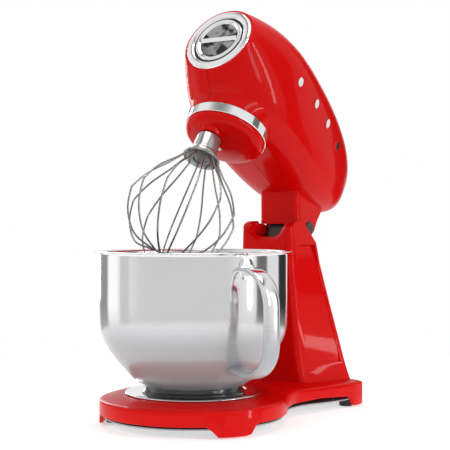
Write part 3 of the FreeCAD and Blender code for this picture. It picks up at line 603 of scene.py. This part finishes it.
BEZEL_RADIUS = 43.9
BAND_INSIDE = 49.65
LEVER_Y = 62.0
LEVER_TRAVEL = 24.0
bezel_seat = along_y(disc(BEZEL_RADIUS, -10, 6), NOSE_Y, CAP_Z)
lever_slot = block(-5, 5, LEVER_Y - 8, LEVER_Y + LEVER_TRAVEL + 8, 380, 430)
head_form = cut(head_form, hollow, bezel_seat, disc(BAND_INSIDE, 240, 320), disc(51.0, 240, BAND_TOP - 0.01),
                lever_slot)
SEAM = 0.25  # half the width of the gap between the halves
for name, side in (("left", 1), ("right", -1)):
    half = trim(head_form.copy(), (side * SEAM, 0, 0), (-side, 0, 0))
    tilt(half)
    piece("head_cover_" + name, half, red, "head", "red_paint", "head_shell_" + name, edge=0.45, sharp=35)
head_form.free()

# ---------------------------------------------------------------- neck
# The neck is an aluminium casting in red enamel, fixed under the head. The tongue in its end turns on the
# hinge pin, its front corners are well rounded, and a bore on its left side takes the release button.
NECK_HALF = 29.0
NECK_LINE = [(189, 232.3), (208, 232), (212, 221), (219, 216), (228, 217.5), (234.8, 223), (242, 235),
             (252.5, 247), (262, 262), (262, 330), (189, 330)]
neck = prism([(-NECK_HALF, y, z) for y, z in NECK_LINE], (2 * NECK_HALF, 0, 0))
FRONT_Y, POST_HEIGHT = 190, 50
front_edges = [e for e in neck.edges if all(v.co.y < FRONT_Y for v in e.verts)
               and abs(e.verts[0].co.z - e.verts[1].co.z) > POST_HEIGHT]
bmesh.ops.bevel(neck, geom=front_edges, offset=9.0, offset_type="OFFSET", segments=8, profile=0.5,
                material=-1, affect="EDGES")
tilt(neck_roof)
BUTTON_Y, BUTTON_Z = 221, 226
button_bore = shift(across(disc(9.3, 0, 30)), 17, BUTTON_Y, BUTTON_Z)
neck = cut(neck, neck_roof, button_bore, block(-18, 18, 195, 216, 225, 245))
piece("neck", neck, red, "head", "red_paint", "neck_casting", edge=1.2, sharp=28)

# ---------------------------------------------------------------- release button
# A round button in dark moulded plastic, which unlocks the head when it is pressed. It slides in the neck's
# bore, and a slot is moulded across its face.
plastic = Finish("dark_plastic", Roughness=0.45)
plastic_tone = plastic.blend(plastic.noise(20.0), (0.045, 0.044, 0.042, 1), (0.058, 0.056, 0.053, 1))
plastic.vary("Base Color", plastic_tone)
plastic.relief(plastic.noise(0.5, 2.0), 0.02)
BUTTON = [(0, 0), (9, 0), (9, 7.2), (8.6, 7.8), (7.6, 8.0), (7.0, 7.5), (0, 7.2)]
button = shift(across(lathe(BUTTON, 64)), NECK_HALF - 6, BUTTON_Y, BUTTON_Z)
button = cut(button, block(NECK_HALF + 0.6, NECK_HALF + 4, BUTTON_Y - 4, BUTTON_Y + 4,
                           BUTTON_Z - 1.1, BUTTON_Z + 1.1))
piece("head_release", button, plastic, "button", "dark_plastic", "release_button", edge=0.25)

# ---------------------------------------------------------------- front cap
# A chromed cap in a chromed bezel, with a black rubber ring between them. The cap is dished and smoked in its
# dish, with one bright bar left standing across it to grip.
bezel = lathe([(33.6, 0), (43.9, 0), (43.9, 9.4), (43.0, 10.7), (41.2, 11.4), (36.2, 11.4), (34.6, 10.8),
               (33.6, 9.6)], 128, True)
gasket = lathe([(31.8, 3), (33.6, 3), (33.6, 9.8), (33.2, 10.3), (32.2, 10.3), (31.8, 9.8)], 128, True)
cap = lathe([(0, 2.4), (31.4, 2.4), (31.4, 10.0), (30.4, 11.3), (29.0, 11.6), (27.2, 11.2), (25.5, 9.8),
             (22.5, 8.9), (12.0, 8.3), (0, 8.2)], 128)
bar = prism([(-24.9, -3.4, 7.4), (24.9, -3.4, 7.4), (24.9, 3.4, 7.4), (-24.9, 3.4, 7.4)], (0, 0, 3.4))
cap = cut(cap, bar, operation="UNION")
well = lathe([(0, 8.6), (12, 8.7), (20, 9.1), (24.6, 9.9), (24.6, 10.1), (20, 9.35), (12, 8.95),
              (0, 8.85)], 96)
well = cut(well, block(-30, 30, -3.6, 3.6, 0, 20))
smoked = Finish("smoked_chrome", Metallic=1.0)
smoke = smoked.ramp(smoked.noise(13.0, 1.0), 0.42, 0.58)
smoked.vary("Base Color", smoked.blend(smoke, (0.02, 0.02, 0.02, 1), (0.34, 0.34, 0.35, 1)))
smoked.vary("Roughness", smoked.noise(12.0, 3.0) * 0.04 + 0.06)
for name, form, finish, body, slot, node, edge in (
        ("cap_well", well, smoked, "cap", "chrome", None, 0.0),
        ("bezel", bezel, chrome, "head", "chrome", "cap_bezel", 0.3),
        ("gasket", gasket, rubber, "head", "black_rubber", "cap_gasket", 0.2),
        ("drive_cap", cap, chrome, "cap", "chrome", "front_cap", 0.5)):
    along_y(form, NOSE_Y + NOSE_WALL, CAP_Z)
    tilt(form)
    piece(name, form, finish, body, slot, *([node] if node else []), edge=edge, sharp=30)

# ---------------------------------------------------------------- hub band
# A rolled steel band, chromed and pressed onto the collar under the head. It closes the head over the hub,
# which turns inside it.
band_form = lathe([(49.7, 254.8), (50.4, 254.8), (50.9, 255.4), (50.9, 266.9), (50.4, BAND_TOP),
                   (49.7, BAND_TOP)], 128, True)
tilt(band_form)
piece("band", band_form, chrome, "head", "chrome", "hub_band", edge=0.15, sharp=25)

# ---------------------------------------------------------------- whisk wires
# Six loops of spring-steel wire, each a little deeper at the tip than the last so that they cross clear of
# each other. Their ends are set in the flange above.
wire = Finish("wire_steel", Metallic=1.0)
wire.vary("Base Color", wire.blend(wire.noise(20.0), (0.22, 0.22, 0.22, 1), (0.30, 0.30, 0.29, 1)))
wire.vary("Roughness", wire.noise(3.0, 3.0) * 0.06 + 0.16)
ORBIT = 26.3
WIRE_RADIUS = 1.1
LOOPS = 6
WHISK_TIP_Z, TIP_STEP = 58.0, 2.6
wires = bmesh.new()
for k in range(LOOPS):
    tip = WHISK_TIP_Z + TIP_STEP * (LOOPS - 1 - k)
    half_line = [(18.5, 203), (33, 182), (50.5, 160), (61.5, 138), (64 - WIRE_RADIUS, 120 + tip / 10),
                 (57.5, 97 + tip / 12), (42, 76 + tip / 16), (21, tip + 3.5)]
    other_half = [(-r, 0, z) for r, z in reversed(half_line)]
    wire_line = smooth_line([(r, 0, z) for r, z in half_line] + [(0, 0, tip)] + other_half, 5)
    curve = bpy.data.curves.new("loop", "CURVE")
    curve.dimensions = "3D"
    curve.bevel_depth = WIRE_RADIUS
    curve.bevel_resolution = 3
    curve.use_fill_caps = True
    spline = curve.splines.new("POLY")
    spline.points.add(len(wire_line) - 1)
    for point, at in zip(spline.points, wire_line):
        point.co = (*at, 1.0)
    carrier = bpy.data.objects.new("loop", curve)
    scene.collection.objects.link(carrier)
    bpy.context.view_layer.update()
    loop_mesh = bpy.data.meshes.new_from_object(carrier.evaluated_get(bpy.context.evaluated_depsgraph_get()))
    bpy.data.objects.remove(carrier)
    loop_turn = Matrix.Rotation(math.pi / LOOPS * (k + 0.5), 4, "Z")
    loop_mesh.transform(Matrix.Translation((0, -ORBIT, 0)) @ loop_turn)
    wires.from_mesh(loop_mesh)
    bpy.data.meshes.remove(loop_mesh)
tilt(wires)
piece("whisk_loops", wires, wire, "whisk", "whisk_wire", "whisk_wires")

# ---------------------------------------------------------------- whisk collar and flange
# The collar is turned from steel, with a bayonet slot across its top for the beater shaft's pin. The flange
# under it is a pressed steel disc, with a satin finish, that holds the wires.
COLLAR = [(5.2, 206), (17, 206), (17.3, 206.4), (17, 208.8), (15.6, 211), (15, 213.5), (15, 230.4),
          (14.4, 231.6), (13.2, 232), (5.2, 232)]
bayonet_slot = block(-8.3, 8.3, -1.8, 1.8, 218, 234)
collar_form = shift(cut(lathe(COLLAR, 96, True), bayonet_slot), y=-ORBIT)
tilt(collar_form)
collar_steel = Finish("turned_steel", Metallic=0.8)
collar_tone = collar_steel.blend(collar_steel.noise(9.0), (0.40, 0.40, 0.40, 1), (0.50, 0.50, 0.50, 1))
collar_steel.vary("Base Color", collar_tone)
collar_steel.vary("Roughness", collar_steel.noise(2.0, 3.0) * 0.1 + 0.16)
piece("whisk_hub", collar_form, collar_steel, "whisk", "chrome", "whisk_collar", edge=0.25, sharp=30)
flange_steel = Finish("satin_steel", Metallic=1.0)
flange_tone = flange_steel.blend(flange_steel.noise(9.0), (0.24, 0.24, 0.24, 1), (0.32, 0.32, 0.31, 1))
flange_steel.vary("Base Color", flange_tone)
flange_steel.vary("Roughness", flange_steel.noise(2.0, 3.0) * 0.1 + 0.24)
FLANGE = [(0, 201.0), (9, 201.0), (10, 200.2), (20.4, 200), (21.8, 200.5), (22.5, 201.6), (22.3, 202.8),
          (17.0, 206), (0, 206)]
flange_form = shift(lathe(FLANGE, 96), y=-ORBIT)
tilt(flange_form)
piece("whisk_disc", flange_form, flange_steel, "whisk", "chrome", "whisk_flange", edge=0.2, sharp=30)

# ---------------------------------------------------------------- bowl
# A deep-drawn steel bowl with a rolled lip. Its wall is polished to a mirror, and more softly where it curves
# in to the bottom, where its colour is also painted darker and less metallic as painted shade. It stands on
# its foot ring in the well of the bowl plate.
bowl_steel = Finish("polished_steel", Metallic=1.0)
MIRROR_ENDS, SOFT_AND_SHADED_BEGINS = 0.142, 0.092
# Towards the bottom the wall gets rougher, and its colour is painted darker and less metallic: painted shade.
low_wall_soft_and_shaded = bowl_steel.ramp(bowl_steel.parts(bowl_steel.place)[2], MIRROR_ENDS, SOFT_AND_SHADED_BEGINS)
steel_tone = bowl_steel.blend(bowl_steel.noise(40.0), (0.74, 0.74, 0.75, 1), (0.80, 0.80, 0.81, 1))
bowl_steel.vary("Base Color", bowl_steel.blend(low_wall_soft_and_shaded * 0.9, steel_tone, (0.40, 0.41, 0.42, 1)))
bowl_steel.vary("Metallic", 1 - low_wall_soft_and_shaded * 0.75)
bowl_steel.vary("Roughness", bowl_steel.noise(2.0, 4.0, (0.02, 0.02, 1.0)) * 0.02 + low_wall_soft_and_shaded * 0.16 + 0.09)
WALL = [(109.6, 196.0), (109.6, 165.0), (109.6, 134.0), (107.3, 108.0), (99.4, 89.7), (91.0, 77.0),
        (80.6, 65.0), (70.0, 53.5), (57.5, 46.0)]
LIP = [(109.6, 197.2), (110.3, 198.6), (112.3, 199.4), (114.6, 199.7), (115.6, 200.0), (115.9, 200.6),
       (115.5, 201.0), (114.0, 201.1), (111.6, 200.9), (109.6, 200.0), (108.6, 198.4), (108.1, 196.0)]
outside = [(p.x, p.y) for p in smooth_line([(r, z, 0) for r, z in reversed(WALL)], 5)]
BOWL_WALL = 1.5
inside = [(r - BOWL_WALL * (0.25 + 0.75 * min(1, (z - 46) / 30)), z + 1.2 * max(0.0, 1 - (z - 46) / 40))
          for r, z in reversed(outside[:-2])]
bowl_form = lathe([(0, 45.2)] + outside + LIP + inside + [(0, 46.6)], 160)
piece("bowl", bowl_form, bowl_steel, "bowl", "bowl_steel", "bowl_shell", sharp=60)

# ---------------------------------------------------------------- bowl foot ring
# A pressed steel ring fixed under the bowl, given a smooth near-black colour as a painted dark reflection of
# its dark surroundings. It is the part that sits in the well of the bowl plate.
foot_form = lathe([(52.5, 37.6), (59.0, 37.6), (59.5, 38.2), (59.3, 39.2), (57.4, 41.2), (56.4, 44.2),
                   (56.4, 46.4), (52.5, 45.6)], 128, True)
# The ring's steel is painted near black: a painted dark reflection, not the ring's own colour.
ring_painted_reflection = Finish("ring_painted_dark_reflection", Roughness=0.22, Coat_Weight=0.3, Coat_Roughness=0.1)
ring_reflection_tone = ring_painted_reflection.blend(ring_painted_reflection.noise(14.0), (0.012, 0.012, 0.012, 1), (0.022, 0.021, 0.020, 1))
ring_painted_reflection.vary("Base Color", ring_reflection_tone)
ring_painted_reflection.relief(ring_painted_reflection.noise(0.7), 0.01)
piece("bowl_ring", foot_form, ring_painted_reflection, "bowl", "dark_plastic", "bowl_foot", edge=0.2, sharp=30)

# ---------------------------------------------------------------- bowl handle
# A hollow strap of the bowl's steel, bent to a loop and polished with it. Its upper end is welded on over a
# round lug, and its lower end straight onto the wall.
HANDLE_LINE = [(108.8, 182), (116, 182), (126, 180.6), (137, 176.6), (146.5, 169.8), (153, 160.5),
               (156.5, 149), (157, 135), (157, 112), (156, 98), (152, 87.5), (144.5, 78.5), (133.5, 71.6),
               (121, 68.6), (104, 69), (87.6, 71.5)]
HANDLE_TURN = math.radians(-23.3)
STRAP_HALF_WIDTH, STRAP_HALF_THICK = 10.0, 4.0
STRAP_AROUND = 28
strap_line = smooth_line([(r, 0, z) for r, z in HANDLE_LINE], 3)
strap_rings = []
for k, at in enumerate(strap_line):
    along = (strap_line[min(k + 1, len(strap_line) - 1)] - strap_line[max(k - 1, 0)]).normalized()
    outwards = along.cross(Vector((0, 1, 0)))
    ring = []
    for step in range(STRAP_AROUND):
        angle = 2 * math.pi * step / STRAP_AROUND
        wide = STRAP_HALF_WIDTH * math.copysign(abs(math.cos(angle)) ** 0.6, math.cos(angle))
        thick = STRAP_HALF_THICK * math.copysign(abs(math.sin(angle)) ** 0.8, math.sin(angle))
        ring.append(at + outwards * thick + Vector((0, wide, 0)))
    strap_rings.append(ring)
LUG_Z, LUG_STRETCH = 183.5, 1.28
lug = lathe([(0, 108.6), (10, 108.6), (10, 111.0), (9.2, 111.7), (0, 111.9)], 48)
bmesh.ops.scale(lug, vec=(LUG_STRETCH, 1, 1), verts=lug.verts)
handle = cut(loft(strap_rings), shift(across(lug), z=LUG_Z), operation="UNION")
bmesh.ops.rotate(handle, cent=(0, 0, 0), matrix=Matrix.Rotation(HANDLE_TURN, 3, "Z"), verts=handle.verts)
piece("handle", handle, bowl_steel, "bowl", "bowl_steel", "bowl_handle", edge=0.5, sharp=40)

# ---------------------------------------------------------------- hub dish
# The turning hub is a bowl-shaped casting in the head's red enamel. A teardrop boss on it holds the beater
# shaft off centre, and it rides on the main shaft inside the band.


def dress(finish, *names):
    """Give pieces that are shown as they were drawn their finish."""
    for name in names:
        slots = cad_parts[name].data.materials
        for k in range(len(slots)):
            slots[k] = finish.material


dress(red, "hub_dish")

# ---------------------------------------------------------------- lever and studs
# The speed lever is a chromed knob on a stem, which slides in the slot of a chromed plate on top of the head.
# Four small chromed lozenges stand on the cover on each flank.
dress(chrome, "speed_lever", "lever_plate", "trim_studs_left", "trim_studs_right")

# ---------------------------------------------------------------- tongue and cord inlet
# Both are mouldings in dark plastic. The tongue sits in the neck's end and turns on the hinge pin, and the
# inlet is a gland in the back of the column, where the cord would come out.
dress(plastic, "hinge_tongue", "cord_inlet")

# ---------------------------------------------------------------- screws and bolts
# Bought steel fasteners with a zinc coat: the bolts that hold the column, the screws of the bowl plate and of
# the bottom cover, and the set screw that keeps the hub on its shaft.
zinc = Finish("zinc_screw", Metallic=1.0)
zinc.vary("Base Color", zinc.blend(zinc.noise(4.0), (0.55, 0.56, 0.56, 1), (0.68, 0.68, 0.66, 1)))
zinc.vary("Roughness", zinc.noise(1.5) * 0.1 + 0.28)
dress(zinc, "column_bolts", "bowl_plate_screws", "cover_screws", "hub_set_screw")

# ---------------------------------------------------------------- shafts and gears
# The drive's steel parts, turned, ground and cut from bar: the hinge pin, the shafts with their gears, the
# fixed ring that the planet pinion runs in, the motor's stator and rotor, and the button's wound spring.
machined = Finish("machined_steel", Metallic=1.0)
machined_tone = machined.blend(machined.noise(10.0), (0.50, 0.51, 0.52, 1), (0.60, 0.60, 0.61, 1))
machined.vary("Base Color", machined_tone)
machined.vary("Roughness", machined.noise(1.0, 3.0) * 0.12 + 0.2)
dress(machined, "hinge_pin", "main_shaft", "main_gear", "counter_shaft", "top_bevel", "accessory_bevel",
      "accessory_shaft", "ring_gear", "planet_pinion", "beater_shaft", "drive_pin", "motor_stator",
      "motor_rotor", "release_spring")

# ---------------------------------------------------------------- bearings
# Plain bushes of sintered bronze, for the hinge pin, the main shaft, the motor, the beater shaft and the
# accessory shaft. They hold oil in their pores, so their surface is slightly rough.
bronze = Finish("bearing_bronze", Metallic=1.0)
bronze.vary("Base Color", bronze.blend(bronze.noise(3.0), (0.45, 0.27, 0.10, 1), (0.58, 0.36, 0.15, 1)))
bronze.vary("Roughness", bronze.noise(0.8) * 0.15 + 0.3)
dress(bronze, "hinge_bushes", "hub_bearing", "motor_bearings", "planet_bearing", "accessory_bearing")

# ---------------------------------------------------------------- frames and bottom cover
# The gear frame and the motor's bracket are plain die castings inside the head. The bottom cover closes the
# base from below. None of them is painted, so they keep the grain of the mould.
cast = Finish("cast_frame", Metallic=0.9)
cast.vary("Base Color", cast.blend(cast.noise(3.0, 4.0), (0.34, 0.34, 0.35, 1), (0.46, 0.46, 0.46, 1)))
cast.vary("Roughness", cast.noise(1.5, 3.0) * 0.2 + 0.45)
cast.relief(cast.noise(0.9, 3.0), 0.06)
dress(cast, "gear_frame", "motor_bracket", "base_cover")

# ---------------------------------------------------------------- nylon parts
# The crown gear that the motor's pinion drives and the motor's fan are moulded in natural nylon. The gear is
# nylon to run quietly, and to give way first if the drive jams.
nylon = Finish("nylon", Roughness=0.42, Subsurface_Weight=0.1)
nylon.vary("Base Color", nylon.blend(nylon.noise(6.0), (0.70, 0.68, 0.60, 1), (0.78, 0.76, 0.69, 1)))
nylon.relief(nylon.noise(1.2), 0.02)
dress(nylon, "crown_gear", "motor_fan")

# ---------------------------------------------------------------- motor coils and brushes
# The stator's coils are wound from enamelled copper wire. Two carbon brushes press on the rotor's
# commutator and carry the current to it.
copper = Finish("copper_wire", Metallic=1.0)
copper.vary("Base Color", copper.blend(copper.noise(1.2, 3.0), (0.38, 0.13, 0.05, 1), (0.62, 0.26, 0.12, 1)))
copper.vary("Roughness", copper.noise(0.8) * 0.15 + 0.28)
copper.relief(copper.noise(0.7), 0.1)
dress(copper, "stator_coils")
carbon = Finish("carbon", Roughness=0.6)
carbon.vary("Base Color", carbon.blend(carbon.noise(0.6), (0.012, 0.012, 0.012, 1), (0.035, 0.035, 0.035, 1)))
dress(carbon, "carbon_brushes")

# ---------------------------------------------------------------- control board and seal
# The speed control is a green circuit board in the head, below the speed lever. The seal is a ring of black
# rubber round the beater shaft, which keeps grease in and flour out.
board = Finish("circuit_board", Roughness=0.35)
board.vary("Base Color", board.blend(board.noise(2.5, 1.0), (0.01, 0.11, 0.04, 1), (0.02, 0.19, 0.07, 1)))
dress(board, "control_board")
dress(rubber, "shaft_seal")
